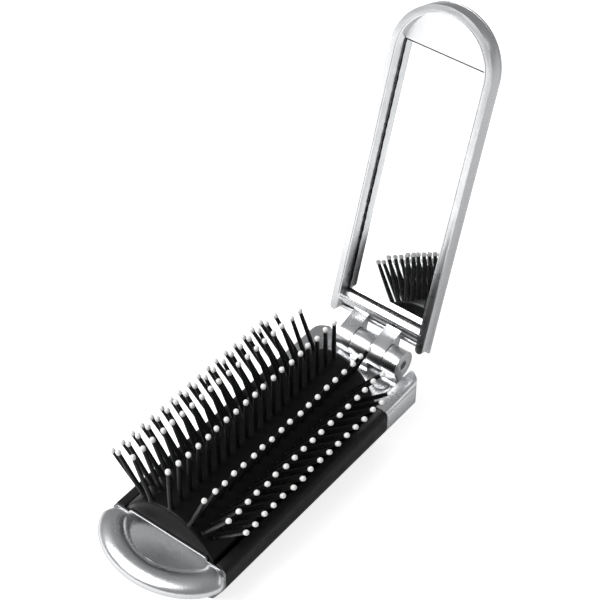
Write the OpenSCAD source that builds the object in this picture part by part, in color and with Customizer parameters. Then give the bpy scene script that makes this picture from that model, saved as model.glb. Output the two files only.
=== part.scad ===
// Folding hairbrush with a mirror in its lid.
// The case lies on its flat back with the lid swung open and the bristle pad raised.
// X runs across the brush, +Y from the finger loop to the hinge, +Z up from the back.

/* [Case] */
// Width of the case over both grips
case_w = 41; // [34:0.5:50]
// Height of the parting plane and of the hinge axis above the flat back
case_h = 16; // [15:0.5:20]
// Length from the hinge axis to the front face of the case
case_l = 95.5; // [78:0.5:120]
// How far the finger loop stands out in front of the case
loop_reach = 15.8; // [13:0.1:19]
// Length of the hinge cap in front of the hinge axis
cap_l = 19; // [16:0.5:23]
// How far the hinge cap reaches behind the hinge axis
cap_back = 0.3; // [0.2:0.1:1.5]
// Radius of the cap's rear corners seen from above
cap_r = 6.5; // [4:0.5:7]
// How far the cap's underside rises behind the pad
cap_rise = 4; // [0:0.5:4.5]
// Width of the band between the case's side and the mouth that the pad fills
band_w = 3.8; // [3.4:0.1:4.6]
// How far the flat back is narrower than the case, each side
back_in = 7; // [6:0.5:8]
// Radius of the long lower edges
back_r = 3.5; // [2.8:0.1:4.2]
// Radius of the bulge halfway up each side
side_r = 6; // [5:0.5:7]
// Radius of the long upper edges
top_r = 2; // [1.2:0.1:2.4]
// Thickness of the soft grips
grip_t = 1; // [0.8:0.1:1.2]
// Wall of the back shell under the grips
wall = 1.2; // [1:0.1:1.4]
// Wall of the hinge cap
cap_wall = 2.2; // [1.8:0.1:2.6]
// Thickness of the grips where they turn over the top of the wall
flange_t = 1.25; // [1:0.05:1.5]
// Thickness of the silver front plate that carries the loop
plate_t = 0.9; // [0.8:0.1:1.4]
// Height of the front plate's lip above the parting plane
lip_h = 1.35; // [0.8:0.05:2]
// Clearance between the lip and the lid's rim, each side
lip_gap = 0.55; // [0.4:0.05:1]

/* [Loop] */
// How far the loop swells out beyond the case, each side
loop_swell = 2; // [0:0.1:3]
// Length over which it swells, from the front plate
swell_l = 4; // [2:0.1:6]
// Width of the tube at the loop's ends, without the swell
tube_side = 7.7; // [5:0.1:8.5]
// Width of the tube at the middle of the loop
tube_front = 8.2; // [5:0.1:9]
// Height of the loop's tube
tube_h = 6; // [5:0.1:8]
// How far the top of the tube lies below the hinge axis
tube_low = 0.5; // [0.25:0.05:2]
// Roundness of the loop seen from above, where 2 is an ellipse
loop_power = 1.95; // [1.9:0.05:2.5]
// The same for the finger hole
hole_power = 1.7; // [1.7:0.05:2.5]

/* [Hinge] */
// Radius of the barrel
barrel_r = 4.6; // [3.8:0.1:4.7]
// Length of the whole barrel
barrel_l = 23; // [20:0.2:24]
// How far the barrel's middle lies to the right of the case's middle
barrel_x = 1; // [0:0.1:1]
// Length of each of the lid's two knuckles
lid_knuckle = 5.3; // [4:0.1:5.6]
// Length of the cap's knuckle between the lid's two, the rest being the cap's other one
mid_knuckle = 6.5; // [5:0.1:7]
// Gap between two knuckles
knuckle_gap = 0.2; // [0.15:0.05:0.4]
// Radius of the pin
pin_r = 1.45; // [1:0.05:1.6]
// How far the pin's ends lie inside the barrel
pin_in = 2.2; // [0.8:0.1:2.5]
// Radial clearance of the pin in the lid's knuckles
pin_play = 0.06; // [0.03:0.01:0.1]
// Radial clearance of the pin in the cap's knuckles
pin_fit = 0.02; // [0.01:0.01:0.03]
// Height of the cap's platform below the hinge axis
platform_drop = 5; // [4.8:0.1:5.6]
// Width of the platform at its floor
platform_w = 26; // [24:0.5:27]
// How much wider the platform's pocket is at the top, each side
platform_flare = 2.5; // [1.5:0.1:3]
// Radius of the two round plugs on the platform
plug_r = 2.5; // [1.8:0.1:2.6]
// Distance from the middle to each plug
plug_x = 9; // [8.6:0.1:9.8]
// Distance of the plugs in front of the hinge axis
plug_y = 6.3; // [6.3:0.1:7]

/* [Lid] */
// Angle that the lid stands open from closed
lid_open = 107; // [0:1:180]
// How far the lid's edge is set in from the case's edge, each side
lid_in = 3.05; // [2.4:0.05:3.6]
// How much further the lid reaches than the loop
lid_over = 1.1; // [0:0.1:3]
// Thickness of the lid
lid_t = 6.8; // [6.4:0.1:8]
// Gap between the closed lid and the case
part_gap = 0.3; // [0.2:0.05:0.5]
// Width of the rim round the mirror
rim_w = 2.6; // [2:0.1:3]
// Distance from the hinge axis to the ends of the lid's two horns
horn_s = 6; // [5.8:0.1:6.4]
// Distance from the hinge axis to the near edge of the cross wall
cross_s = 10.5; // [10:0.1:11]
// Thickness of the cross wall below the mirror
cross_t = 1.8; // [1.4:0.1:2.4]
// Depth of the mirror's face below the rim
recess = 4.5; // [4:0.1:4.6]
// Thickness of the mirror
mirror_t = 1; // [0.8:0.1:1.2]
// Height of the half-round panel's face above the mirror's face
panel_up = 0.4; // [0.2:0.1:0.8]
// Length of the half-round panel beyond the mirror, from the apex of the rim
panel_l = 12.8; // [10:0.1:14]
// Thickness of the bonding sheet behind the mirror
sheet_t = 0.24; // [0.2:0.02:0.3]
// Distance from the hinge axis to the near edge of the rear cover
cover_s = 5; // [4.8:0.1:6]
// Height of the lid's rear cover
cover_h = 2.3; // [2.1:0.1:2.6]
// Thickness of the rear cover's plate
cover_t = 1; // [0.8:0.05:1]
// Thickness of the rear cover's edge
cover_wall = 1.3; // [1:0.1:1.6]
// Clearance round the mirror
mirror_gap = 0.15; // [0.1:0.05:0.25]

/* [Bristle pad] */
// Height of the pad's crown above the parting plane
crown = 10.4; // [9:0.1:12]
// Thickness of the rubber pad
pad_t = 2.2; // [2:0.1:2.6]
// Gap between the pad and the mouth of the case
pad_gap = 0.3; // [0.25:0.05:0.4]
// How far the pad's skirt reaches below the parting plane
skirt_h = 5.15; // [4.8:0.05:5.3]
// How much the skirt narrows towards its foot, each side
skirt_in = 1.9; // [1.8:0.1:2.2]
// Distance from the hinge axis to the pad's rounded end
pad_end = 11.6; // [10:0.1:12]
// How far the pad's rounded end bows towards the hinge
pad_bow = 8; // [6:0.5:9]
// How far the crown is cut back at the rounded end
end_lean = 4.5; // [3:0.1:5.5]
// Thickness of the carrier's plate
carrier_t = 1.2; // [1:0.1:1.3]
// How far the carrier's plate is set in from the pad's side
carrier_in = 2.6; // [2.5:0.1:3]
// Height of the carrier's upstand inside the skirt
upstand_h = 2; // [1.5:0.1:3]

/* [Bristles] */
// Length of a bristle from the pad to the middle of its ball
bristle_l = 14.8; // [12:0.1:16]
// Half the width of a four-sided bristle, corner to middle
bristle_r = 0.7; // [0.5:0.01:0.75]
// Radius of the ball at the tip
ball_r = 0.85; // [0.7:0.01:0.95]
// Distance between two bristles along a row
pitch = 4.13; // [3.6:0.01:5]
// Distance from the pad's front to the first bristle of the middle row
row_front = 1.15; // [1.15:0.05:2.5]
// Least distance from the last bristle of the middle row to the pad's rounded end
row_back = 7.2; // [6.8:0.1:10]
// Width of the strip that a row is moulded on
strip_w = 1.6; // [1.4:0.1:1.8]
// Clearance of a strip in its slot in the pad
strip_gap = 0.03; // [0.02:0.01:0.05]

/* [Hidden] */
// Clearance between bonded faces
bond = 0.02;
// Overshoot of a cut beyond the face that it opens
over = 1;
// Sections along the loop's tube and sides of each
tube_steps = 26;
tube_sides = 18;

// Case
half_w = case_w / 2;
hinge_y = case_l / 2 + 5;
front_y = hinge_y - case_l;
cap_y = hinge_y - cap_l;
back_y = hinge_y + cap_back;
case_top = case_h - part_gap / 2;
mouth_half = half_w - band_w;
flange_z = case_top - flange_t;
tube_z = case_h - tube_low - tube_h / 2;
skin = grip_t + wall;
back_c = [half_w - back_in, back_r];
side_c = [half_w - side_r, case_h - side_r];
// Outward direction of the straight flank between the two side arcs
flank = atan2(side_c[1] - back_c[1], side_c[0] - back_c[0])
    - acos((back_r - side_r) / norm(side_c - back_c));

// Hinge
platform_z = case_h - platform_drop;
// How far the posts of the cap's knuckles reach in front of the hinge axis
post_y = barrel_r * 0.8;
barrel_0 = barrel_x - barrel_l / 2;
mid_0 = barrel_0 + lid_knuckle + knuckle_gap;
lid_0 = mid_0 + mid_knuckle + knuckle_gap;
end_0 = lid_0 + lid_knuckle + knuckle_gap;
// Knuckles as places along X and lengths
lid_knuckles = [[barrel_0, lid_knuckle], [lid_0, lid_knuckle]];
cap_knuckles = [[mid_0, mid_knuckle], [end_0, barrel_0 + barrel_l - end_0]];

// Lid, in its closed place with the hinge axis at the origin: y is minus the distance along it
lid_half = half_w - lid_in;
lid_l = case_l + loop_reach + lid_over;
arc_s = lid_l - lid_half;
rim_z = part_gap / 2;
lid_top = rim_z + lid_t;
frame_top = lid_top - cover_h - bond;
mirror_z = rim_z + recess;
mirror_s0 = cross_s + cross_t;
mirror_s1 = lid_l - rim_w - panel_l;
horn_r = rim_w / 2;
// Half the lip's width: it keeps clear of the rim where the lid's round end has begun
lip_half = sqrt(pow(lid_half - rim_w, 2) - pow(max(0, case_l - arc_s), 2)) - lip_gap;

// Pad and bristles
pad_half = mouth_half - pad_gap;
fan_r = (pad_half * pad_half + crown * crown) / (2 * crown);
fan_z = case_top + crown - fan_r;
pad_z = case_top - skirt_h;
pad_y0 = front_y + plate_t;
pad_y1 = hinge_y - pad_end;
bow_r = (pad_half * pad_half + pad_bow * pad_bow) / (2 * pad_bow);
bow_y = pad_y1 - bow_r;
end_tilt = atan(end_lean / crown);
tip_r = fan_r + bristle_l;
first_y = pad_y0 + row_front;
row_n = floor((pad_y1 - row_back - first_y) / pitch) + 1;
// From the middle row outwards: lean, start behind the middle row's first bristle, bristles fewer
row_lean = [0, 23, 37, 47];
row_start = [0, 0, 1.2, 3.3];
row_fewer = [0, 0, 1, 2];
ball_flat = ball_r * cos(30);

function arc(c, r, a0, a1, n = 6) =
    [for (i = [0:n]) c + r * [cos(a0 + (a1 - a0) * i / n), sin(a0 + (a1 - a0) * i / n)]];
function backwards(pts) = [for (i = [len(pts) - 1:-1:0]) pts[i]];
function flip(pts) = [for (p = backwards(pts)) [-p[0], p[1]]];
function both(pts) = concat(pts, flip(pts));

// Right half of the case's section, set in from the outside, from the back up the side
function side_line(inset) = concat(
    arc(back_c, back_r - inset, -90, flank),
    arc(side_c, side_r - inset, flank, 0)
);
function case_outer() = concat(
    side_line(0),
    arc([half_w - top_r, case_top - top_r], top_r, 0, 90)
);
function case_inner(inset, top) = concat(side_line(inset), [[half_w - inset, top]]);

// Point of a half oval in front of the case, at the angle t from its right end
function loop_point(a, b, power, t) = [
    a * sign(cos(t)) * pow(abs(cos(t)), 2 / power),
    -b * pow(sin(t), 2 / power)
];

// Section of the loop's tube at the angle t, moved back by y
function tube_ring(t, y) = let (
    plain = loop_point(half_w, loop_reach, loop_power, t),
    rise = 1 - pow(1 - min(1, -plain[1] / swell_l), 2),
    outer = [plain[0] * (1 + rise * loop_swell / half_w), plain[1]],
    hole = loop_point(half_w - tube_side, loop_reach - tube_front, hole_power, t)
) [
    for (i = [0:tube_sides - 1])
        let (
            a = 360 * i / tube_sides,
            p = (outer + hole) / 2 + (outer - hole) / 2 * cos(a)
        )
        [p[0], p[1] + y, tube_z + tube_h / 2 * sin(a)]
];

module along_y(y0, y1, pts) {
    translate([0, y1, 0])
        rotate([90, 0, 0])
            linear_extrude(y1 - y0) polygon(pts);
}

module along_x(x, w, pts) {
    translate([x, 0, 0])
        rotate([90, 0, 90])
            linear_extrude(w) polygon(pts);
}

module barrel(spans, r, extra = 0) {
    for (span = spans)
        translate([span[0] - extra, 0, 0])
            rotate([0, 90, 0])
                cylinder(r = r, h = span[1] + 2 * extra, $fn = 64);
}

module at_hinge() {
    translate([0, hinge_y, case_h]) children();
}

module on_lid() {
    at_hinge() rotate([-lid_open, 0, 0]) children();
}

// Back shell: a channel that is open at both ends
module back_shell() {
    y0 = front_y + plate_t + bond;
    y1 = cap_y - bond;
    color("dimgray")
        difference() {
            union() {
                along_y(y0, y1, both(case_inner(grip_t, flange_z - bond)));
                translate([-back_c[0] + bond, y0, 0])
                    cube([2 * (back_c[0] - bond), y1 - y0, skin]);
            }
            along_y(y0 - over, y1 + over, both(case_inner(skin, case_h + over)));
        }
}

module grip() {
    y0 = front_y + plate_t + bond;
    y1 = cap_y - bond;
    inner = concat(side_line(grip_t - bond), [[half_w - grip_t + bond, flange_z]]);
    along_y(y0, y1, concat(
        case_outer(),
        [[mouth_half, case_top], [mouth_half, flange_z]],
        backwards(inner)
    ));
}

module left_grip() {
    color("#1a1a1a") mirror([1, 0, 0]) grip();
}

module right_grip() {
    color("#1a1a1a") grip();
}

// Tube of the loop, bent round, with both ends let into the front plate
module loop_tube() {
    rings = [
        for (k = [0:tube_steps])
            tube_ring(180 * k / tube_steps, k == 0 || k == tube_steps ? plate_t / 2 : 0)
    ];
    n = tube_sides;
    polyhedron(
        points = [for (ring = rings) each ring],
        faces = concat(
            [[for (i = [0:n - 1]) i]],
            [[for (i = [n - 1:-1:0]) tube_steps * n + i]],
            [
                for (k = [0:tube_steps - 1], i = [0:n - 1], half = [0, 1])
                    let (j = (i + 1) % n)
                    half == 0
                        ? [k * n + i, (k + 1) * n + i, (k + 1) * n + j]
                        : [k * n + i, (k + 1) * n + j, k * n + j]
            ]
        )
    );
}

// Front plate with its low lip, and the loop that grows out of it
module end_loop() {
    color("silver") {
        along_y(front_y, front_y + plate_t, both(case_outer()));
        along_y(front_y, front_y + plate_t, [
            [-lip_half, case_top - flange_t], [lip_half, case_top - flange_t],
            [lip_half, case_top + lip_h], [-lip_half, case_top + lip_h]
        ]);
        translate([0, front_y, 0]) loop_tube();
    }
}

// Plan of the pad, set in all round, with its rounded end towards the hinge
module pad_plan(inset) {
    w = pad_half - inset;
    translate([-w, pad_y0 + inset]) square([2 * w, bow_y - pad_y0 - inset]);
    intersection() {
        translate([-w, bow_y - bond]) square([2 * w, bow_r]);
        translate([0, bow_y]) circle(r = bow_r - inset, $fn = 128);
    }
}

module cap_plan() {
    w = half_w - cap_r;
    translate([-half_w, cap_y]) square([case_w, back_y - cap_r - cap_y]);
    translate([-w, cap_y]) square([2 * w, back_y - cap_y]);
    for (x = [-w, w]) translate([x, back_y - cap_r]) circle(r = cap_r, $fn = 64);
}

// Pocket above the platform, open to the rear
module cap_pocket() {
    w = platform_w / 2;
    top = case_h + over;
    flare = platform_flare * (top - platform_z) / platform_drop;
    along_y(pad_y0, back_y + over, [
        [w, platform_z], [w + flare, top], [-w - flare, top], [-w, platform_z]
    ]);
}

// Space above the cap's underside, which rises behind the pad, lifted off it
module above_slope(lift) {
    foot = pad_y1 + pad_gap;
    slope = cap_rise / (back_y - foot);
    along_x(-half_w, case_w, [
        [cap_y - over, lift], [foot, lift], [back_y + over, lift + cap_rise + slope * over],
        [back_y + over, case_h + over], [cap_y - over, case_h + over]
    ]);
}

// Room below the platform, open towards the case
module cap_room() {
    intersection() {
        above_slope(cap_wall);
        along_y(cap_y - over, back_y - cap_wall, both(case_inner(cap_wall, case_h)));
        translate([-half_w, 0, 0]) cube([case_w, case_l, platform_z - cap_wall]);
    }
}

// Hinge cap: a hollow end with the platform, the pad's mouth and two knuckles
module hinge_cap() {
    color("silver")
        difference() {
            union() {
                difference() {
                    intersection() {
                        along_y(cap_y, back_y, both(case_outer()));
                        linear_extrude(case_h) cap_plan();
                        above_slope(0);
                    }
                    cap_room();
                    cap_pocket();
                    translate([0, 0, platform_z - cap_wall - over])
                        linear_extrude(case_h) pad_plan(-pad_gap);
                }
                at_hinge() {
                    barrel(cap_knuckles, barrel_r);
                    for (span = cap_knuckles)
                        translate([span[0], -post_y, -platform_drop - over / 2])
                            cube([span[1], post_y + cap_back, platform_drop + over / 2]);
                }
            }
            at_hinge() barrel(cap_knuckles, pin_r + pin_fit, over / 8);
            for (x = [-plug_x, plug_x])
                translate([x, hinge_y - plug_y, platform_z - 0.5])
                    cylinder(r = plug_r + bond, h = over, $fn = 48);
        }
}

// Two round plugs that close the platform's fixing holes
module cap_plugs() {
    color("silver")
        for (x = [-plug_x, plug_x])
            translate([x, hinge_y - plug_y, platform_z - 0.5 + bond])
                cylinder(r = plug_r, h = 0.8, $fn = 48);
}

module pad_carrier() {
    z = pad_z - carrier_t - bond;
    color("#303030") {
        translate([0, 0, z]) linear_extrude(carrier_t) pad_plan(carrier_in);
        translate([0, 0, z])
            linear_extrude(carrier_t + upstand_h)
                difference() {
                    pad_plan(skirt_in + pad_t + 1);
                    pad_plan(skirt_in + pad_t + 2.2);
                }
    }
}

// Section of the pad set in from its outside: crown above, tapered skirt below
function pad_section(inset) = let (
    r = fan_r - inset,
    w = pad_half - inset,
    edge = acos(w / r)
) both(concat(
    [[w - skirt_in, pad_z - (inset > 0 ? over : 0)], [w, fan_z + r * sin(edge)]],
    arc([0, fan_z], r, edge, 90, 16)
));

module row_frame(i) {
    side = i - 3;
    translate([0, 0, fan_z])
        rotate([0, sign(side) * row_lean[abs(side)], 0])
            translate([0, first_y + row_start[abs(side)], 0])
                children();
}

module row_strip(i, gap) {
    n = row_n - row_fewer[abs(i - 3)];
    row_frame(i)
        translate([-strip_w / 2 - gap, -strip_w / 2 - gap, fan_r - pad_t - gap])
            cube([strip_w + 2 * gap, (n - 1) * pitch + strip_w + 2 * gap, pad_t + 2 * gap]);
}

// Round end that leans forward as it rises, set in from the pad's end
module pad_lean(inset) {
    w = bow_r - inset;
    translate([0, pad_y1 - bow_r / cos(end_tilt), case_top])
        rotate([end_tilt, 0, 0])
            translate([0, 0, -case_l])
                linear_extrude(2 * case_l) {
                    circle(r = w, $fn = 128);
                    translate([-w, -2 * case_l]) square([2 * w, 2 * case_l]);
                }
}

// Rubber pad: a hollow dome with a slot for each row of bristles
module bristle_pad() {
    color("#161616")
        difference() {
            intersection() {
                along_y(pad_y0, pad_y1, pad_section(0));
                linear_extrude(case_h + crown) pad_plan(bond);
                pad_lean(0);
            }
            intersection() {
                along_y(pad_y0, pad_y1, pad_section(pad_t));
                linear_extrude(case_h + crown) pad_plan(pad_t);
                pad_lean(pad_t);
            }
            for (i = [0:6]) row_strip(i, strip_gap);
        }
}

// One row: four-sided bristles on the strip that sits in the pad
module bristle_row(i) {
    n = row_n - row_fewer[abs(i - 3)];
    color("#101010")
        union() {
            row_strip(i, 0);
            row_frame(i)
                for (k = [0:n - 1])
                    translate([0, k * pitch, fan_r - pad_t / 2])
                        cylinder(r = bristle_r, h = bristle_l + pad_t / 2 - ball_flat, $fn = 4);
        }
}

module bristle_tips(i) {
    n = row_n - row_fewer[abs(i - 3)];
    color("white")
        row_frame(i)
            for (k = [0:n - 1])
                translate([0, k * pitch, tip_r])
                    sphere(r = ball_r, $fn = 6);
}

module hinge_pin() {
    l = barrel_l - 2 * pin_in;
    color("dimgray") at_hinge() barrel([[barrel_x - l / 2, l]], pin_r);
}

// Outline of the lid, set in all round, beyond the distance s0 from the hinge
module lid_outline(inset, s0) {
    w = lid_half - inset;
    intersection() {
        union() {
            translate([-w, -arc_s]) square([2 * w, arc_s]);
            translate([0, -arc_s]) circle(r = w, $fn = 128);
        }
        translate([-case_w, -lid_l - over]) square([2 * case_w, lid_l + over - s0]);
    }
}

// Rim of the lid: straight sides that end in two rounded horns
module lid_rim_plan() {
    lid_outline(0, cross_s);
    for (side = [-1, 1])
        translate([side * (lid_half - horn_r), -horn_s - horn_r]) {
            circle(r = horn_r, $fn = 32);
            translate([-horn_r, -cross_s + horn_s]) square([2 * horn_r, cross_s - horn_s]);
        }
}

module lid_frame() {
    inner = lid_half - rim_w;
    // Sloping end wall between the horns, from the rim back to the rear cover
    end_wall = [
        [-mirror_s0, rim_z], [-cross_s, rim_z], [-horn_s - 0.9, frame_top],
        [-mirror_s0, frame_top]
    ];
    // Arm from the barrel to the end wall, with its flat facing the case when closed
    arm = [
        [-barrel_r * cos(38), -barrel_r * sin(38)], [-horn_s - 1.7, recess - 0.9],
        [-mirror_s0, frame_top], [0, frame_top], [0, 0]
    ];
    color("silver")
        on_lid()
            difference() {
                union() {
                    translate([0, 0, rim_z])
                        linear_extrude(frame_top - rim_z)
                            difference() {
                                lid_rim_plan();
                                lid_outline(rim_w, mirror_s0);
                                translate([-inner, -mirror_s0 - bond])
                                    square([2 * inner, mirror_s0]);
                            }
                    along_x(-inner, 2 * inner, end_wall);
                    translate([0, 0, mirror_z - panel_up])
                        linear_extrude(frame_top - mirror_z + panel_up)
                            lid_outline(rim_w - bond, mirror_s1);
                    for (span = lid_knuckles) along_x(span[0], span[1], arm);
                    barrel(lid_knuckles, barrel_r);
                }
                barrel(lid_knuckles, pin_r + pin_play, over / 8);
            }
}

// Rear cover of the lid: a shallow tray that closes the frame from behind
module lid_cover() {
    color("silver")
        on_lid()
            translate([0, 0, lid_top - cover_h])
                difference() {
                    linear_extrude(cover_h) lid_outline(0, cover_s);
                    translate([0, 0, -over])
                        linear_extrude(cover_h - cover_t + over)
                            lid_outline(cover_wall, cover_s + cover_wall);
                }
}

module mirror_plan(gap) {
    w = lid_half - rim_w - gap;
    translate([-w, -mirror_s1 + gap])
        square([2 * w, mirror_s1 - mirror_s0 - 2 * gap]);
}

module mirror_glass() {
    color("lightsteelblue")
        on_lid()
            translate([0, 0, mirror_z])
                linear_extrude(mirror_t) mirror_plan(mirror_gap);
}

module mirror_sheet() {
    color("white")
        on_lid()
            translate([0, 0, mirror_z + mirror_t + bond])
                linear_extrude(sheet_t) mirror_plan(1 + mirror_gap);
}

back_shell();
left_grip();
right_grip();
end_loop();
hinge_cap();
cap_plugs();
pad_carrier();
bristle_pad();
hinge_pin();
lid_frame();
lid_cover();
mirror_glass();
mirror_sheet();
for (i = [0:6]) {
    bristle_row(i);
    bristle_tips(i);
}
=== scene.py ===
# %% [markdown]
# # A folding hairbrush with a mirror in its lid
# The brush lies on its back with the lid swung open. The case has soft black
# grips and a silver finger loop, the black pad carries seven rows of bristles
# with white ball tips, and the silver lid holds a mirror.
#
# The moving frame of the brush comes from its CAD model. The cells below make
# its visible pieces around that frame, at the same size and in the same place.
# Lengths are in millimetres, and MM turns them into Blender's metres.

import math

import bmesh
import bpy
import numpy as np
from mathutils import Matrix, Vector


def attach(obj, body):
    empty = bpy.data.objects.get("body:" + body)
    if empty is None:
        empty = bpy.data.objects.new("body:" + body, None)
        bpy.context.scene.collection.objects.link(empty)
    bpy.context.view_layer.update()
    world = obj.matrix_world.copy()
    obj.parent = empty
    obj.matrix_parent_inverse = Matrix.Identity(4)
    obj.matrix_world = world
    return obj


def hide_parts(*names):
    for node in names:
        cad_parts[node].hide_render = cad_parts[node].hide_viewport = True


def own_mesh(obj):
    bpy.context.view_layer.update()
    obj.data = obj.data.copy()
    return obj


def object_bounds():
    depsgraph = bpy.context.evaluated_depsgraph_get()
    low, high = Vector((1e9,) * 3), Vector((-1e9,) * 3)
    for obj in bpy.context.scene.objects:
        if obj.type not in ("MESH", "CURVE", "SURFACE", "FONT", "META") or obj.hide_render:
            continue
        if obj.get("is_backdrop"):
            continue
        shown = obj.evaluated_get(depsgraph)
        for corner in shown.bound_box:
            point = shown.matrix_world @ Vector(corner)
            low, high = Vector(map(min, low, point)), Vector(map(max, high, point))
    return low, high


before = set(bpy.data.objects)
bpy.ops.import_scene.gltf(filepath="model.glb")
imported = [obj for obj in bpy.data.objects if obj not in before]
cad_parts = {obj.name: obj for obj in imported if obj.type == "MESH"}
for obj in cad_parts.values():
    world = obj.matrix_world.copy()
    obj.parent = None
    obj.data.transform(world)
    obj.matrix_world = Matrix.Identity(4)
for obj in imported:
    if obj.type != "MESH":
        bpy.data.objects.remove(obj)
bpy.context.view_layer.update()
MM = 0.001

# %% [markdown]
# ## Sizes that several pieces share
# A brush like this is drawn around two lines: the flat back that lies on the
# table, and the hinge axis at the rear. The case, the pad and the lid all take
# their places from these, so the values are written once.

# %% Shared sizes
HINGE_Y, HINGE_Z = 52.75, 16.0
FRONT_Y, PLATE_T = -42.75, 0.9
TOP_Z = 15.85
print("front plate to hinge axis in mm:", HINGE_Y - FRONT_Y)

# %% [markdown]
# ## Helpers for shading and modifiers
# A moulded surface is smooth and then turns at an edge. So the faces are shaded
# smooth, and the edges that turn by more than a given angle are marked sharp.
# Modifiers are applied at once, because the next step works on their result.

# %% Shading and modifiers
link = bpy.context.scene.collection.objects.link


def smooth_by_angle(piece, degrees):
    mesh = piece.data
    mesh.polygons.foreach_set("use_smooth", [True] * len(mesh.polygons))
    bm = bmesh.new()
    bm.from_mesh(mesh)
    for edge in bm.edges:
        joined = len(edge.link_faces) == 2
        sharp = joined and edge.calc_face_angle(0) > math.radians(degrees)
        edge.smooth = not sharp
    bm.to_mesh(mesh)
    bm.free()


def apply_modifiers(piece):
    bpy.context.view_layer.update()
    evaluated = piece.evaluated_get(bpy.context.evaluated_depsgraph_get())
    mesh = bpy.data.meshes.new_from_object(evaluated)
    piece.modifiers.clear()
    old, piece.data = piece.data, mesh
    bpy.data.meshes.remove(old)
    return piece

# %% [markdown]
# ## Softening the edges of the CAD pieces
# A moulded edge is never perfectly sharp: it catches a thin line of light. The
# grips, the hinge cap and the lid frame already have their true shape in the CAD
# model, with bores and knuckles. A copy of each is cleaned of the triangles on
# its flat faces and then bevelled, which is quicker and truer than drawing it
# again.

# %% A bevelled copy of a CAD node
WELD = 0.002 * MM
SMOOTH = 35


def softened(node, name, width, segments=3, angle=28, flat=0.6):
    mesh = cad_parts[node].data.copy()
    mesh.materials.clear()
    piece = bpy.data.objects.new(name, mesh)
    link(piece)
    bm = bmesh.new()
    bm.from_mesh(mesh)
    bmesh.ops.remove_doubles(bm, verts=bm.verts, dist=WELD)
    bmesh.ops.dissolve_limit(bm, angle_limit=math.radians(flat),
                             verts=bm.verts, edges=bm.edges)
    bmesh.ops.recalc_face_normals(bm, faces=bm.faces)
    bm.to_mesh(mesh)
    bm.free()
    bevel = piece.modifiers.new("edges", "BEVEL")
    bevel.width = width * MM
    bevel.segments = segments
    bevel.limit_method = "ANGLE"
    bevel.angle_limit = math.radians(angle)
    bevel.use_clamp_overlap = True
    bevel.miter_outer = "MITER_ARC"
    apply_modifiers(piece)
    smooth_by_angle(piece, SMOOTH)
    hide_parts(node)
    print(name, "faces:", len(piece.data.polygons))
    return piece

# %% [markdown]
# ## Finishes
# Each finish is a Principled shader with procedural noise for what the eye reads
# as material: flakes and fine orange peel in the silver paint, a soft grain on
# the grips, faint marks on the rubber. Image textures would need unwrapping.
# Noise reads object coordinates, so it sticks to the piece as it moves.

# %% A helper for node materials
def finish(name, colour, rough, metal=0.0, **sockets):
    material = bpy.data.materials.new(name)
    material.use_nodes = True
    material.diffuse_color = (*colour, 1)
    shader = material.node_tree.nodes["Principled BSDF"]
    shader.inputs["Base Color"].default_value = (*colour, 1)
    shader.inputs["Roughness"].default_value = rough
    shader.inputs["Metallic"].default_value = metal
    for key, value in sockets.items():
        shader.inputs[key.replace("_", " ")].default_value = value
    return material


def noise(material, scale, detail=3.0, rough=0.5, stretch=(1, 1, 1)):
    nodes, links = material.node_tree.nodes, material.node_tree.links
    coordinate = nodes.new("ShaderNodeTexCoord")
    mapping = nodes.new("ShaderNodeMapping")
    mapping.inputs["Scale"].default_value = stretch
    texture = nodes.new("ShaderNodeTexNoise")
    texture.inputs["Scale"].default_value = scale
    texture.inputs["Detail"].default_value = detail
    texture.inputs["Roughness"].default_value = rough
    links.new(coordinate.outputs["Object"], mapping.inputs["Vector"])
    links.new(mapping.outputs["Vector"], texture.inputs["Vector"])
    return texture.outputs["Fac"]


def ramp(material, value, low, high, start=0.3, end=0.7):
    node = material.node_tree.nodes.new("ShaderNodeValToRGB")
    first, last = node.color_ramp.elements
    first.position, last.position = start, end
    first.color, last.color = low, high
    material.node_tree.links.new(value, node.inputs["Fac"])
    return node.outputs["Color"]


def grey(v):
    return (v, v, v, 1)


def drive(material, socket, value):
    shader = material.node_tree.nodes["Principled BSDF"]
    material.node_tree.links.new(value, shader.inputs[socket])


def bump(material, heights):
    nodes, links = material.node_tree.nodes, material.node_tree.links
    normal = None
    for value, strength, distance in heights:
        node = nodes.new("ShaderNodeBump")
        node.inputs["Strength"].default_value = strength
        node.inputs["Distance"].default_value = distance * MM
        links.new(value, node.inputs["Height"])
        if normal is not None:
            links.new(normal, node.inputs["Normal"])
        normal = node.outputs["Normal"]
    drive(material, "Normal", normal)

# %% [markdown]
# ### Silver paint on plastic
# The loop, the cap and the lid are plastic with a metallic paint. Fine flakes
# glitter a little, the gloss changes slowly over the surface, and the paint has
# a faint orange peel. It is made as a full metal with a soft gloss, because the
# paint's bright and dark bands are blurred reflections of the room. The plate
# under the loop gets a darker copy, whose darker base colour is painted shade.

# %% Silver
silver = finish("silver_paint", (0.72, 0.725, 0.735), 0.27, 1.0,
                Coat_Weight=0.15, Coat_Roughness=0.1)
FLAKE, CLOUD, PEEL = 9000, 120, 900
flakes = noise(silver, FLAKE, 1.0)
cloud = noise(silver, CLOUD, 4.0)
drive(silver, "Base Color", ramp(silver, flakes, (0.62, 0.625, 0.635, 1),
                                 (0.84, 0.845, 0.855, 1)))
drive(silver, "Roughness", ramp(silver, cloud, grey(0.24), grey(0.33)))
bump(silver, [(flakes, 0.12, 0.012), (noise(silver, PEEL, 2.0), 0.1, 0.02)])

# The front plate's copy: its darker base colour is painted shade from the loop over it.
painted_shade_silver = silver.copy()
painted_shade_silver.name = "silver_paint_painted_shade"
drive(painted_shade_silver, "Base Color", ramp(painted_shade_silver, noise(painted_shade_silver, FLAKE, 1.0),
                                       (0.26, 0.262, 0.27, 1), (0.36, 0.363, 0.37, 1)))
print("silver nodes:", len(silver.node_tree.nodes))

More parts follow.
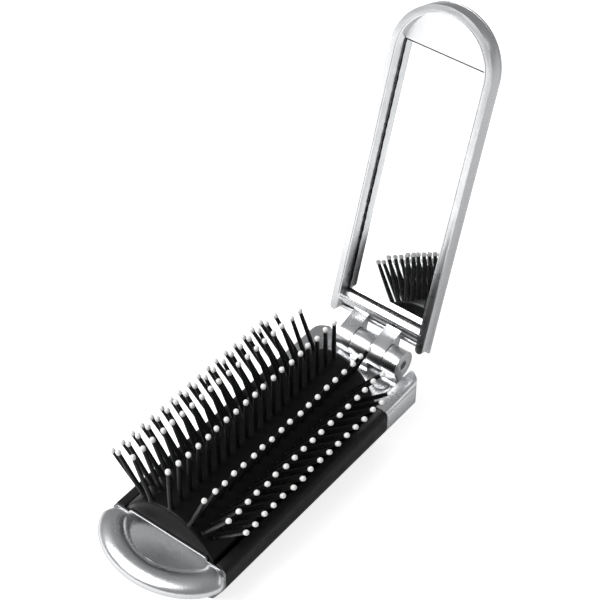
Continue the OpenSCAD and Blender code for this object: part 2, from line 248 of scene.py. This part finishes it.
# %% [markdown]
# ### Soft-touch grips and rubber pad
# Soft-touch paint is nearly black and scatters light at a low angle, so it has
# a fine grain and a broad sheen. The pad is smoother rubber with dust and
# handling marks that only show in its gloss.

# %% Blacks
grip_black = finish("soft_touch_black", (0.006, 0.006, 0.0065), 0.5,
                    Sheen_Weight=0.03, Sheen_Roughness=0.4, Specular_IOR_Level=0.22)
drive(grip_black, "Base Color", ramp(grip_black, noise(grip_black, 160, 5.0),
                                     grey(0.004), grey(0.009)))
drive(grip_black, "Roughness", ramp(grip_black, noise(grip_black, 240, 4.0),
                                    grey(0.4), grey(0.55)))
bump(grip_black, [(noise(grip_black, 5200, 2.0), 0.25, 0.03)])

pad_black = finish("pad_rubber", (0.004, 0.004, 0.0043), 0.4, Specular_IOR_Level=0.14)
drive(pad_black, "Base Color", ramp(pad_black, noise(pad_black, 90, 5.0),
                                    grey(0.0025), grey(0.006)))
drive(pad_black, "Roughness", ramp(pad_black, noise(pad_black, 300, 5.0, 0.6),
                                   grey(0.3), grey(0.5)))
bump(pad_black, [(noise(pad_black, 3500, 2.0), 0.15, 0.02),
                 (noise(pad_black, 180, 2.0), 0.15, 0.06)])

shell_black = finish("moulded_black", (0.02, 0.02, 0.022), 0.55)
drive(shell_black, "Roughness", ramp(shell_black, noise(shell_black, 500, 4.0),
                                     grey(0.45), grey(0.62)))
bump(shell_black, [(noise(shell_black, 4200, 2.0), 0.35, 0.04)])
print("blacks:", grip_black.name, pad_black.name, shell_black.name)

# %% [markdown]
# ### Bristles, ball tips, pin and glass
# The bristles are smooth nylon with fine lines along their length, the tips are
# dipped beads of white resin, and the pin is turned steel. The mirror is a
# metal-coated pane: a polished surface with a hint of haze, and foam bonds it
# from behind. A near black strip round the pane is painted shade for the gap at
# its edge. Noise that is stretched along one axis gives the lines of the nylon
# and of the turning.

# %% Nylon, beads, steel and mirror
nylon = finish("bristle_nylon", (0.006, 0.006, 0.0065), 0.3, Specular_IOR_Level=0.3)
drive(nylon, "Roughness", ramp(nylon, noise(nylon, 700, 3.0, 0.5, (1, 1, 0.15)),
                               grey(0.24), grey(0.42)))
bump(nylon, [(noise(nylon, 2500, 2.0, 0.5, (1, 1, 0.1)), 0.15, 0.02)])

bead = finish("white_beads", (0.86, 0.86, 0.84), 0.22, Coat_Weight=0.3,
              Subsurface_Weight=0.08, Subsurface_Radius=(0.001, 0.0008, 0.0006))
drive(bead, "Base Color", ramp(bead, noise(bead, 260, 2.0), (0.82, 0.82, 0.8, 1),
                               (0.9, 0.9, 0.89, 1)))
bump(bead, [(noise(bead, 1400, 2.0), 0.12, 0.03)])

steel = finish("turned_steel", (0.5, 0.5, 0.51), 0.3, 1.0)
drive(steel, "Roughness", ramp(steel, noise(steel, 2500, 2.0, 0.5, (0.1, 1, 1)),
                               grey(0.22), grey(0.45)))
bump(steel, [(noise(steel, 3000, 1.0, 0.5, (4, 1, 1)), 0.2, 0.01)])

mirror = finish("silvered_glass", (0.93, 0.94, 0.94), 0.015, 1.0)
drive(mirror, "Roughness", ramp(mirror, noise(mirror, 60, 4.0), grey(0.008), grey(0.02)))

# A near black finish for the painted shade in the gap round the mirror.
gap_shade = finish("painted_gap_shade", (0.01, 0.01, 0.01), 0.45, Specular_IOR_Level=0.2)
drive(gap_shade, "Roughness", ramp(gap_shade, noise(gap_shade, 900, 3.0), grey(0.35), grey(0.6)))
bump(gap_shade, [(noise(gap_shade, 1500, 3.0), 0.4, 0.05)])

foam = finish("bonding_foam", (0.6, 0.6, 0.58), 0.8)
bump(foam, [(noise(foam, 1800, 2.0), 0.4, 0.05)])
print("finishes so far:", len(bpy.data.materials))

# %% [markdown]
# A finish becomes visible when it is put on a piece. One helper dresses a new
# piece with its finish and ties it to its moving body. The other dresses a CAD
# node that keeps its own mesh.

# %% Putting a finish on
def dress(piece, material, body):
    piece.data.materials.clear()
    piece.data.materials.append(material)
    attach(piece, body)
    return piece


def dress_node(node, material):
    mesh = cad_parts[node].data
    for i in range(len(mesh.materials)):
        mesh.materials[i] = material
    if not mesh.materials:
        mesh.materials.append(material)

# %% [markdown]
# ## The camera
# The camera stands where the photograph was taken from: to the right of the
# brush, in front of the loop, looking down at about 43 degrees. The lens is
# long, so the case's sides run almost parallel in the picture.

# %% Camera
FROM_HINGE = (230.857, -335.576, 400.417)
SENSOR, LENS = 36, 111
yaw, pitch, roll = (math.radians(a) for a in (37.595, 43.091, 0.445))
forward = Vector((-math.sin(yaw) * math.cos(pitch), math.cos(yaw) * math.cos(pitch),
                  -math.sin(pitch)))
right = Vector((math.cos(yaw), math.sin(yaw), 0))
up = right.cross(forward)
across = right * math.cos(roll) + up * math.sin(roll)
upward = up * math.cos(roll) - right * math.sin(roll)
turn = Matrix((across, upward, -forward)).transposed()
camera = bpy.data.objects.new("camera", bpy.data.cameras.new("camera"))
link(camera)
camera.matrix_world = turn.to_4x4()
camera.location = (Vector(FROM_HINGE) + Vector((0, HINGE_Y, HINGE_Z))) * MM
camera.data.sensor_width, camera.data.lens = SENSOR, LENS
camera.data.clip_start, camera.data.clip_end = 0.01, 20
bpy.context.scene.camera = camera
print("camera in mm:", [round(c / MM) for c in camera.location])

# %% [markdown]
# ## The case: back shell, grips and hinge cap
# The grips are soft sleeves that wrap each side of a stiff channel and turn over
# its top edge. The cap at the rear is silver, with a platform, a pocket for the
# hinge and two of its knuckles. All keep their CAD shape, because they have to
# fit each other, and the grips and the cap get soft edges.

# %% Case pieces
dress_node("back_shell", shell_black)
for side in ("left", "right"):
    grip = softened(side + "_grip", side + "_grip_sleeve", 0.45)
    dress(grip, grip_black, "case")
cap = softened("hinge_cap", "hinge_cap_shell", 0.25)
dress(cap, silver, "case")
dress_node("cap_plugs", silver)
dress_node("hinge_pin", steel)

# %% [markdown]
# ## Helpers for making meshes
# Most pieces of a moulded product are lofts: the same outline repeated along a
# line and joined by quads. One helper skins a stack of rings, and one turns the
# points into an object. Normals are made to point outward at the end, because
# booleans, bevels and the mirror all depend on it.

# %% Mesh helpers
SNAP = 0.0001 * MM


def new_piece(name, points, faces, smooth=40):
    mesh = bpy.data.meshes.new(name)
    mesh.from_pydata([tuple(c * MM for c in p) for p in points], [], faces)
    bm = bmesh.new()
    bm.from_mesh(mesh)
    bmesh.ops.remove_doubles(bm, verts=bm.verts, dist=SNAP)
    bmesh.ops.recalc_face_normals(bm, faces=bm.faces)
    bm.to_mesh(mesh)
    bm.free()
    piece = bpy.data.objects.new(name, mesh)
    link(piece)
    smooth_by_angle(piece, smooth)
    return piece


def skin(rings, close_ring=True, caps=True, close_stack=False):
    points, faces = [], []
    n = len(rings[0])
    for ring in rings:
        points.extend(ring)
    stack = len(rings)
    for j in range(stack if close_stack else stack - 1):
        k = (j + 1) % stack
        for i in range(n if close_ring else n - 1):
            m = (i + 1) % n
            faces.append((j * n + i, j * n + m, k * n + m, k * n + i))
    if caps and not close_stack:
        faces.append(tuple(range(n)))
        faces.append(tuple((stack - 1) * n + i for i in range(n)))
    return points, faces

# %% [markdown]
# ## The finger loop
# The loop is a fat oval tube bent round the end of the case, and both of its
# ends run into the front plate. A curve object with a bevel could make it, but
# its tube would keep one width. Here each section is an oval hung between two
# half ovals, the loop's outside and the finger hole, so the tube follows both. It
# swells out beyond the case soon after it leaves the plate.

# %% Loop
TUBE_H, TUBE_Z = 6.0, 12.5
LOOP_OUT, LOOP_HOLE = (20.5, 15.8), (12.8, 7.6)
OUT_POWER, HOLE_POWER = 1.95, 1.7
SWELL, SWELL_L = 2.0, 4.0
STEPS, AROUND = 96, 40


def bent(radii, power, t):
    c, s = math.cos(t), math.sin(t)
    return Vector((radii[0] * math.copysign(abs(c) ** (2 / power), c),
                   FRONT_Y - radii[1] * abs(s) ** (2 / power)))


rings = []
for i in range(STEPS + 1):
    t = math.pi * i / STEPS
    outer, hole = bent(LOOP_OUT, OUT_POWER, t), bent(LOOP_HOLE, HOLE_POWER, t)
    rise = 1 - (1 - min(1, (FRONT_Y - outer.y) / SWELL_L)) ** 2
    outer.x *= 1 + rise * SWELL / LOOP_OUT[0]
    back = PLATE_T / 2 if i in (0, STEPS) else 0
    ring = []
    for k in range(AROUND):
        a = 2 * math.pi * k / AROUND
        p = (outer + hole) / 2 + (outer - hole) / 2 * math.cos(a)
        ring.append((p.x, p.y + back, TUBE_Z + TUBE_H / 2 * math.sin(a)))
    rings.append(ring)
loop = new_piece("finger_loop", *skin(rings), smooth=50)
print("loop faces:", len(loop.data.polygons))

# %% [markdown]
# The loop's two ends run into a thin silver plate that closes the front of the
# case. Its section is the case's own outline, made of three arcs a side, and a
# low lip in the middle stands up into the lid's recess when the brush is folded.
# It is an extrusion with bevelled edges. It stays a mesh of its own beside the
# loop, so that it can have the darker silver, whose base colour is painted shade.

# %% Front plate
LIP_Z = TOP_Z + 1.35
TURN = -31.1


def arc(centre, radius, start, end, steps):
    angles = np.radians(np.linspace(start, end, steps + 1))
    return [(centre[0] + radius * math.cos(a), centre[1] + radius * math.sin(a))
            for a in angles]


profile = arc((13.5, 3.5), 3.5, -90, TURN, 10) + arc((14.5, 10), 6, TURN, 0, 8)
profile += arc((18.5, TOP_Z - 2), 2, 0, 90, 10)
profile += [(14.3, TOP_Z), (14.2, LIP_Z - 0.4), (13.8, LIP_Z)]
outline = profile + [(-x, z) for x, z in reversed(profile)]
ends = [[(x, y, z) for x, z in outline] for y in (FRONT_Y, FRONT_Y + PLATE_T)]
plate = new_piece("front_plate", *skin(ends))
bevel = plate.modifiers.new("edges", "BEVEL")
bevel.width, bevel.segments, bevel.angle_limit = 0.22 * MM, 3, math.radians(40)
bevel.limit_method = "ANGLE"
apply_modifiers(plate)
smooth_by_angle(plate, SMOOTH)
dress(loop, silver, "case")
# The plate's darker silver is painted shade.
dress(plate, painted_shade_silver, "case")
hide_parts("end_loop")
print("plate faces:", len(plate.data.polygons))

# %% [markdown]
# ## The bristle pad
# The pad is a rubber dome. Its section is one arc, its front is cut straight
# and its rear slopes down to a rounded end below the hinge. The mesh is made of
# lines that run from front to rear, one for each angle of the arc, and every
# line turns its corners with a small radius. It stays open below, where it faces
# the inside of the case.

# %% Pad
PAD_HALF, CROWN, PAD_FRONT, PAD_END = 16.4, 10.4, FRONT_Y + PLATE_T, HINGE_Y - 11.6
FAN_R = (PAD_HALF ** 2 + CROWN ** 2) / (2 * CROWN)
FAN_Z = TOP_Z + CROWN - FAN_R
BOW = 8.0
BOW_R = (PAD_HALF ** 2 + BOW ** 2) / (2 * BOW)
LEAN = 4.5 / CROWN
SKIRT = TOP_Z - 5.15
CORNER_R, SHARE = 1.1, 0.45
CROWN_STEPS, LINES = 24, 45
FOOT, INSIDE = 1.9, 0.9999


def rounded(corners, radius, steps=5):
    """A line through the corners, each turned with the radius."""
    line = [corners[0]]
    for before, corner, after in zip(corners, corners[1:], corners[2:]):
        a = (Vector(before) - Vector(corner)).normalized()
        b = (Vector(after) - Vector(corner)).normalized()
        reach = min(radius, (Vector(before) - Vector(corner)).length * SHARE,
                    (Vector(after) - Vector(corner)).length * SHARE)
        p, q = Vector(corner) + a * reach, Vector(corner) + b * reach
        for k in range(steps + 1):
            s = k / steps
            line.append(tuple((1 - s) ** 2 * p + 2 * s * (1 - s) * Vector(corner) + s * s * q))
    line.append(corners[-1])
    return line


def pad_line(x, z):
    height = z - TOP_Z
    plan_end = PAD_END - BOW_R + math.sqrt(BOW_R ** 2 - x ** 2)
    crown_end = plan_end - LEAN * height
    turn_z = min(z - 0.02, TOP_Z)
    corners = [(PAD_FRONT, SKIRT), (PAD_FRONT, z - 0.01), (crown_end, z),
               (plan_end, turn_z), (plan_end, SKIRT)]
    line = rounded(corners, CORNER_R)
    far = np.linspace(line[6][0], line[7][0], CROWN_STEPS)[1:-1]
    line[7:7] = [(float(y), z) for y in far]
    return [(x, y, h) for y, h in line]


edge = math.degrees(math.asin(PAD_HALF / FAN_R))
lines = []
for angle in np.radians(np.linspace(-edge, edge, LINES)):
    lines.append(pad_line(FAN_R * math.sin(angle), FAN_Z + FAN_R * math.cos(angle)))
side_line = pad_line(PAD_HALF * INSIDE, TOP_Z)
for side, at in ((-1, 0), (1, len(lines))):
    low = [(side * (PAD_HALF - FOOT), min(max(y, PAD_FRONT), PAD_END - BOW), SKIRT)
           for _, y, _ in side_line]
    lines.insert(at, low)
pad = new_piece("rubber_pad", *skin(lines, close_ring=False, caps=False), smooth=55)
bm = bmesh.new()
bm.from_mesh(pad.data)
bmesh.ops.holes_fill(bm, edges=[e for e in bm.edges if e.is_boundary], sides=0)
bmesh.ops.recalc_face_normals(bm, faces=bm.faces)
bm.to_mesh(pad.data)
bm.free()
dress(pad, pad_black, "pad")
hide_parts("bristle_pad")
print("pad radius in mm:", round(FAN_R, 2), "faces:", len(pad.data.polygons))

# %% [markdown]
# ## Bristles
# Seven rows fan out from the pad. Each bristle is a slim nylon stem, a little
# thicker at its root, that rises from a low collar, and a resin bead is dipped
# over its end. A stem is one profile turned round its axis, and a small seeded
# wobble keeps the rows from looking like a comb.

# %% Bristle helpers
PITCH, FIRST_Y = 4.13, PAD_FRONT + 1.15
# Each row: how far it leans in degrees, where it starts, how many bristles
ROWS = [(-47, 3.3, 17), (-37, 1.2, 18), (-23, 0.0, 19), (0, 0.0, 19),
        (23, 0.0, 19), (37, 1.2, 18), (47, 3.3, 17)]
STEM = [(0.0, -1.4), (0.98, -1.3), (0.98, 0.05), (0.9, 0.22), (0.78, 0.5),
        (0.74, 1.2), (0.72, 5.0), (0.67, 10.0), (0.58, 14.3), (0.0, 14.4)]
BEAD = [(0.0, 13.9), (0.48, 13.93), (0.64, 14.1), (0.76, 14.4), (0.81, 14.8),
        (0.78, 15.1), (0.65, 15.4), (0.38, 15.58), (0.0, 15.62)]
TIP_Z, BEND, BEND_MOST = 14.8, 0.16, 0.22
chance = np.random.default_rng(7)


def turned(profile, sides):
    """Points and faces of a profile of (radius, height) turned round its axis."""
    points, faces = [], []
    for radius, height in profile[1:-1]:
        for k in range(sides):
            a = 2 * math.pi * k / sides
            points.append((radius * math.cos(a), radius * math.sin(a), height))
    for j in range(len(profile) - 3):
        for k in range(sides):
            m = (k + 1) % sides
            faces.append((j * sides + k, j * sides + m,
                          (j + 1) * sides + m, (j + 1) * sides + k))
    points += [(0, 0, profile[0][1]), (0, 0, profile[-1][1])]
    low, high = len(points) - 2, len(points) - 1
    top = (len(profile) - 3) * sides
    for k in range(sides):
        m = (k + 1) % sides
        faces.append((low, m, k))
        faces.append((high, top + k, top + m))
    return points, faces


def planted(profile, sides, frames):
    """The turned profile at each place, bent a little more towards its tip."""
    base_points, base_faces = turned(profile, sides)
    points, faces = [], []
    for place, bend in frames:
        start = len(points)
        for p in base_points:
            lift = max(0.0, p[2]) / TIP_Z
            shifted = Vector(p) + Vector((bend[0], bend[1], 0)) * lift * lift
            points.append(tuple(place @ shifted))
        faces += [tuple(start + v for v in face) for face in base_faces]
    return points, faces


print("faces of one stem:", len(turned(STEM, 10)[1]), "of one bead:", len(turned(BEAD, 14)[1]))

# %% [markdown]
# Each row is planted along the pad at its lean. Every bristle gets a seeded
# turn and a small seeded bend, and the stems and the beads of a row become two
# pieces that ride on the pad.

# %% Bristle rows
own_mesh(pad)
for number, (lean, start, count) in enumerate(ROWS, 1):
    frames = []
    for k in range(count):
        place = (Matrix.Translation((0, 0, FAN_Z)) @ Matrix.Rotation(math.radians(lean), 4, "Y")
                 @ Matrix.Translation((0, FIRST_Y + start + k * PITCH, FAN_R))
                 @ Matrix.Rotation(math.radians(float(chance.uniform(0, 360))), 4, "Z"))
        frames.append((place, np.clip(chance.normal(0, BEND, 2), -BEND_MOST, BEND_MOST)))
    side, tilt = math.copysign(1, lean), math.radians(lean)
    stems = new_piece(f"bristles_row_{number}", *planted(STEM, 10, frames), smooth=60)
    dress(stems, nylon, "pad")
    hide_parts(f"bristle_row_{number}")
    beads = new_piece(f"beads_row_{number}", *planted(BEAD, 14, frames), smooth=80)
    dress(beads, bead, "pad")
    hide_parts(f"bristle_tips_{number}")
    for piece in (stems, beads):
        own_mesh(piece)
print("bristles:", sum(row[2] for row in ROWS))

# %% [markdown]
# ## The lid
# The lid is a frame with a shallow recess, a cover that closes it from behind,
# and a pane of mirror. The frame keeps its CAD shape with softened edges, since
# its arms and knuckles have to meet the case. The cover is lofted from the
# lid's outline. It is laid out as on a closed lid, where the numbers are simple,
# and one helper swings each point open.

# %% A point on the lid, and the lid's outline
LID_OPEN = math.radians(107)
LID_HALF, LID_L, LID_TOP = 17.45, 112.4, 6.95
LID_START, SIDE_STEPS, BOW_STEPS = 5.0, 8, 48


def on_lid(x, s, m):
    """A point of the closed lid, s from the hinge and m above it, swung open."""
    c, n = math.cos(-LID_OPEN), math.sin(-LID_OPEN)
    return (x, HINGE_Y - s * c - m * n, HINGE_Z - s * n + m * c)


def lid_ring(inset, m, start=LID_START):
    """The lid's outline, drawn in by the inset, at the height m."""
    w = LID_HALF - inset
    centre = LID_L - LID_HALF
    foot, length = start + inset, centre - start - inset
    climb = [foot + length * k / SIDE_STEPS for k in range(1, SIDE_STEPS)]
    ring = [(-w, foot), (w, foot)] + [(w, s) for s in climb]
    ring += [(w * math.cos(a), centre + w * math.sin(a))
             for a in np.linspace(0, math.pi, BOW_STEPS + 1)]
    ring += [(-w, s) for s in reversed(climb)]
    return [on_lid(x, s, m) for x, s in ring]


print("points in the lid's outline:", len(lid_ring(0, 0)))

# %% [markdown]
# The cover shows from behind and at the side, with a fine parting line between
# it and the frame. Its edge is one profile of inset and height that is followed
# by rings of the outline, so the line and the round edge are real geometry.

# %% Cover
COVER_LOW, COVER_R = LID_TOP - 2.3, 1.8
# Pairs of inset and height: the inside, the parting line, the side, the back
back_edge = [(3.5, LID_TOP - 1.0), (1.45, LID_TOP - 1.0), (1.3, LID_TOP - 1.15),
             (1.3, COVER_LOW + 0.15), (1.15, COVER_LOW), (0.25, COVER_LOW),
             (0.0, COVER_LOW + 0.2), (0.0, COVER_LOW + 0.5)]
back_edge += [(COVER_R - x, LID_TOP - COVER_R + z)
              for x, z in arc((0, 0), COVER_R, 0, 90, 8)]
back_edge += [(3.5, LID_TOP)]
cover = new_piece("lid_cover_shell", *skin([lid_ring(i, m) for i, m in back_edge]), smooth=50)
dress(cover, silver, "lid")
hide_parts("lid_cover")
print("cover faces:", len(cover.data.polygons))

# %% [markdown]
# Two fine grooves run in the frame: a straight one along the cross wall, and a
# ring round the rim's front face. A groove is cut with a boolean, which keeps it
# sharp: a thin cutter is taken away from the piece and then removed.

# %% Frame and grooves
# Sections of the cutters: distance and height, then inset and height
CROSS = [(11.36, -1.0), (11.64, -1.0), (11.64, 0.9), (11.36, 0.9)]
CROSS_HALF = 14.6
RIM = [(2.0, -1.0), (2.2, -1.0), (2.2, 0.6), (2.0, 0.6)]
RIM_START = 10.0


def cut_with(piece, cutter):
    cut = piece.modifiers.new("cut", "BOOLEAN")
    cut.object, cut.operation, cut.solver = cutter, "DIFFERENCE", "EXACT"
    apply_modifiers(piece)
    smooth_by_angle(piece, SMOOTH)
    bpy.data.objects.remove(cutter, do_unlink=True)


lid = softened("lid_frame", "lid_frame_shell", 0.2)
dress(lid, silver, "lid")
straight = [[on_lid(x, s, m) for s, m in CROSS] for x in (-CROSS_HALF, CROSS_HALF)]
cut_with(lid, new_piece("straight_cutter", *skin(straight)))
bow = [lid_ring(inset, m, RIM_START) for inset, m in RIM]
cut_with(lid, new_piece("bow_cutter", *skin(bow, caps=False, close_stack=True)))
dress_node("mirror_glass", mirror)
dress_node("mirror_sheet", foam)
dress_node("pad_carrier", shell_black)
print("frame faces with grooves:", len(lid.data.polygons))

# %% [markdown]
# A thin dark frame round the pane of mirror is painted shade: it stands for the
# shadowed gap between the pane and the lid frame. It is a flat frame that follows
# the pane's edge, wider at the hinge end and a little uneven on the left.

# %% Painted gap shade round the mirror
MIRROR_HALF, MIRROR_LOW, MIRROR_HIGH, MIRROR_M = 14.7, 12.45, 96.85, 4.65
SHADE_SIDE, SHADE_LOW, SHADE_HIGH, SHADE_T = 0.34, 0.62, 0.36, 0.05
UNEVEN, SHADE_STEPS = (-0.09, 0.12), 60
inner, outer = [], []
for k in range(SHADE_STEPS + 1):
    part = k / SHADE_STEPS
    s = MIRROR_LOW + (MIRROR_HIGH - MIRROR_LOW) * part
    left_width = SHADE_SIDE + float(chance.uniform(*UNEVEN))
    inset_s = min(max(s, MIRROR_LOW + SHADE_LOW), MIRROR_HIGH - SHADE_HIGH)
    outer.append(((-MIRROR_HALF, s), (MIRROR_HALF, s)))
    inner.append(((-MIRROR_HALF + left_width, inset_s), (MIRROR_HALF - SHADE_SIDE, inset_s)))
loops = []
for rows in (outer, inner):
    loops.append([left for left, _ in rows] + [right for _, right in reversed(rows)])
stack = [(loops[0], 0.0), (loops[0], -SHADE_T), (loops[1], -SHADE_T), (loops[1], 0.0)]
gap_shade_rings = [[on_lid(x, s, MIRROR_M + dm) for x, s in ring] for ring, dm in stack]
gap_shade_strip = new_piece("mirror_gap_shade", *skin(gap_shade_rings, caps=False, close_stack=True), smooth=30)
dress(gap_shade_strip, gap_shade, "lid")
print("seal faces:", len(gap_shade_strip.data.polygons))

# %% [markdown]
# ## Floor, light and background
# The photograph has a plain white ground. A real studio lights its paper sweep
# for that. Here the floor is pale and keeps the brush's soft shadow, and a glow
# of its own lifts it to white for the camera. Reflections see a weaker glow, and
# only on the floor in front and to the left of the brush, so that the silver
# mirrors a bright side and a dark one.

# %% Floor
FLOOR_SIZE, FLOOR_DROP = 3, 0.2 * MM
bm = bmesh.new()
bmesh.ops.create_grid(bm, x_segments=1, y_segments=1, size=FLOOR_SIZE)
floor_mesh = bpy.data.meshes.new("floor")
bm.to_mesh(floor_mesh)
bm.free()
floor = bpy.data.objects.new("floor", floor_mesh)
link(floor)
floor.location.z = -FLOOR_DROP
floor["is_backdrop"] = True
paper = finish("white_ground", (0.82, 0.82, 0.82), 0.9)
floor_mesh.materials.append(paper)
print("floor reaches in m:", max(v.co.x for v in floor_mesh.vertices))

# %% [markdown]
# The glow is an emission that is added to the paper's own shader. Its strength
# is a camera part plus a reflection part. The Light Path node tells the two
# kinds of ray apart, and a dot product with a direction on the floor says how
# far ahead of the brush a point lies.

# %% The floor's glow
CAMERA_GLOW, REFLECTED_GLOW = 0.75, 0.55
BRIGHT_SIDE, FADE_FROM, FADE_TO = (-0.4, -0.9, 0), 0.05, 0.14
nodes, links = paper.node_tree.nodes, paper.node_tree.links
path = nodes.new("ShaderNodeLightPath")
place = nodes.new("ShaderNodeTexCoord")
ahead = nodes.new("ShaderNodeVectorMath")
ahead.operation = "DOT_PRODUCT"
ahead.inputs[1].default_value = BRIGHT_SIDE
links.new(place.outputs["Object"], ahead.inputs[0])
fade = nodes.new("ShaderNodeMapRange")
fade.inputs["From Min"].default_value = FADE_FROM
fade.inputs["From Max"].default_value = FADE_TO
fade.inputs["To Max"].default_value = REFLECTED_GLOW
links.new(ahead.outputs["Value"], fade.inputs["Value"])
reflected = nodes.new("ShaderNodeMath")
reflected.operation = "MULTIPLY"
links.new(path.outputs["Is Glossy Ray"], reflected.inputs[0])
links.new(fade.outputs["Result"], reflected.inputs[1])
strength = nodes.new("ShaderNodeMath")
strength.operation = "MULTIPLY_ADD"
strength.inputs[1].default_value = CAMERA_GLOW
links.new(path.outputs["Is Camera Ray"], strength.inputs[0])
links.new(reflected.outputs[0], strength.inputs[2])
glow = nodes.new("ShaderNodeEmission")
glow.inputs["Color"].default_value = (1, 1, 1, 1)
links.new(strength.outputs[0], glow.inputs["Strength"])
both = nodes.new("ShaderNodeAddShader")
links.new(nodes["Principled BSDF"].outputs[0], both.inputs[0])
links.new(glow.outputs[0], both.inputs[1])
links.new(both.outputs[0], nodes["Material Output"].inputs["Surface"])
print("nodes in the floor's material:", len(nodes))

# %% [markdown]
# Two soft area lamps and a pale sky light the brush. The key stands in front on
# the left and gives the silver its long highlights. A weak lamp at the rear
# right lightens the lid's right side.

# %% World and lamps
world = bpy.data.worlds.new("studio")
world.use_nodes = True
bpy.context.scene.world = world
sky = world.node_tree.nodes["Background"]
sky.inputs["Color"].default_value = (0.97, 0.98, 1, 1)
sky.inputs["Strength"].default_value = 0.27


def lamp(name, place, target, size, power):
    light = bpy.data.lights.new(name, "AREA")
    light.shape, light.size, light.size_y = "RECTANGLE", size[0], size[1]
    light.energy = power
    item = bpy.data.objects.new(name, light)
    link(item)
    item.location = place
    aim = Vector(target) - Vector(place)
    item.rotation_euler = aim.to_track_quat("-Z", "Y").to_euler()
    print(name, "watts:", power)


lamp("key_front_left", place=(-0.42, -0.55, 0.78), target=(0, 0, 0.02),
     size=(0.9, 0.8), power=13)
lamp("rear_right", place=(0.75, 0.7, 0.55), target=(0, 0.05, 0.03),
     size=(0.8, 0.5), power=1)
bpy.context.scene.view_settings.view_transform = "Standard"

# %% [markdown]
# ## The size of the finished model
# The size of the finished model is printed, without the floor.

# %% Finish
low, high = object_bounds()
print("visual size in mm:", [round((b - a) / MM, 1) for a, b in zip(low, high)])
